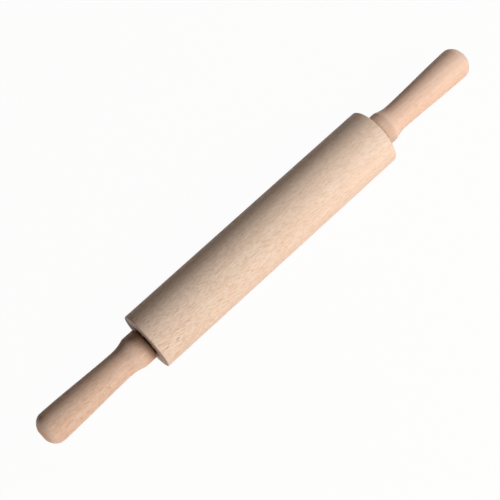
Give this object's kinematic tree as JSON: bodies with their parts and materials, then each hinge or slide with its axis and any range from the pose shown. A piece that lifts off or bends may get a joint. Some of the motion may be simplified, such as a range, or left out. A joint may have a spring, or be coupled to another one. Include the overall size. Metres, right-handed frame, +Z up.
{
  "type": "rolling pin",
  "caption": "Wooden rolling pin: a plain beech barrel that turns on ball bearings about a steel axle, with a turned handle at each end.",
  "frame": {"origin": "on the axle's axis at the middle of the barrel, 25 mm above the table that the barrel lies on", "axes": "+X along the axle from the left handle to the right handle, +Z up from the table, +Y across the barrel"},
  "size_m": [0.4534, 0.05, 0.05],
  "materials": {
    "barrel_beech": "sanded, bare",
    "handle_beech": "sanded, thin oil",
    "axle_steel": "turned and blackened",
    "race_steel": "ground and polished",
    "shield_steel": "pressed and blackened",
    "spring_steel": "phosphated",
    "insert_steel": "zinc plated",
    "cage_nylon": "moulded"
  },
  "bodies": {
    "handles_and_axle": {"axle": "axle_steel", "left_handle": "handle_beech", "left_handle_insert": "insert_steel", "left_spacer": "axle_steel", "left_retaining_ring": "spring_steel", "left_bearing_inner_ring": "race_steel", "right_handle": "handle_beech", "right_handle_insert": "insert_steel", "right_spacer": "axle_steel", "right_retaining_ring": "spring_steel", "right_bearing_inner_ring": "race_steel"},
    "barrel": {"barrel": "barrel_beech", "left_bearing_outer_ring": "race_steel", "left_bearing_outboard_shield": "shield_steel", "left_bearing_inboard_shield": "shield_steel", "right_bearing_outer_ring": "race_steel", "right_bearing_outboard_shield": "shield_steel", "right_bearing_inboard_shield": "shield_steel"},
    "left_ball_cage": {"left_bearing_cage": "cage_nylon", "left_bearing_ball_1": "race_steel", "left_bearing_ball_2": "race_steel", "left_bearing_ball_3": "race_steel", "left_bearing_ball_4": "race_steel", "left_bearing_ball_5": "race_steel", "left_bearing_ball_6": "race_steel", "left_bearing_ball_7": "race_steel"},
    "right_ball_cage": {"right_bearing_cage": "cage_nylon", "right_bearing_ball_1": "race_steel", "right_bearing_ball_2": "race_steel", "right_bearing_ball_3": "race_steel", "right_bearing_ball_4": "race_steel", "right_bearing_ball_5": "race_steel", "right_bearing_ball_6": "race_steel", "right_bearing_ball_7": "race_steel"}
  },
  "joints": [
    {"name": "barrel_spin", "type": "hinge", "parent": "handles_and_axle", "child": "barrel", "pos_m": [0, 0, 0], "axis": [1, 0, 0], "continuous": true},
    {"name": "left_cage_spin", "type": "hinge", "parent": "handles_and_axle", "child": "left_ball_cage", "pos_m": [0, 0, 0], "axis": [1, 0, 0], "continuous": true},
    {"name": "right_cage_spin", "type": "hinge", "parent": "handles_and_axle", "child": "right_ball_cage", "pos_m": [0, 0, 0], "axis": [1, 0, 0], "continuous": true}
  ],
  "couplings": [
    {"joint": "left_cage_spin", "follows": "barrel_spin", "ratio": 0.6308},
    {"joint": "right_cage_spin", "follows": "barrel_spin", "ratio": 0.6308}
  ]
}
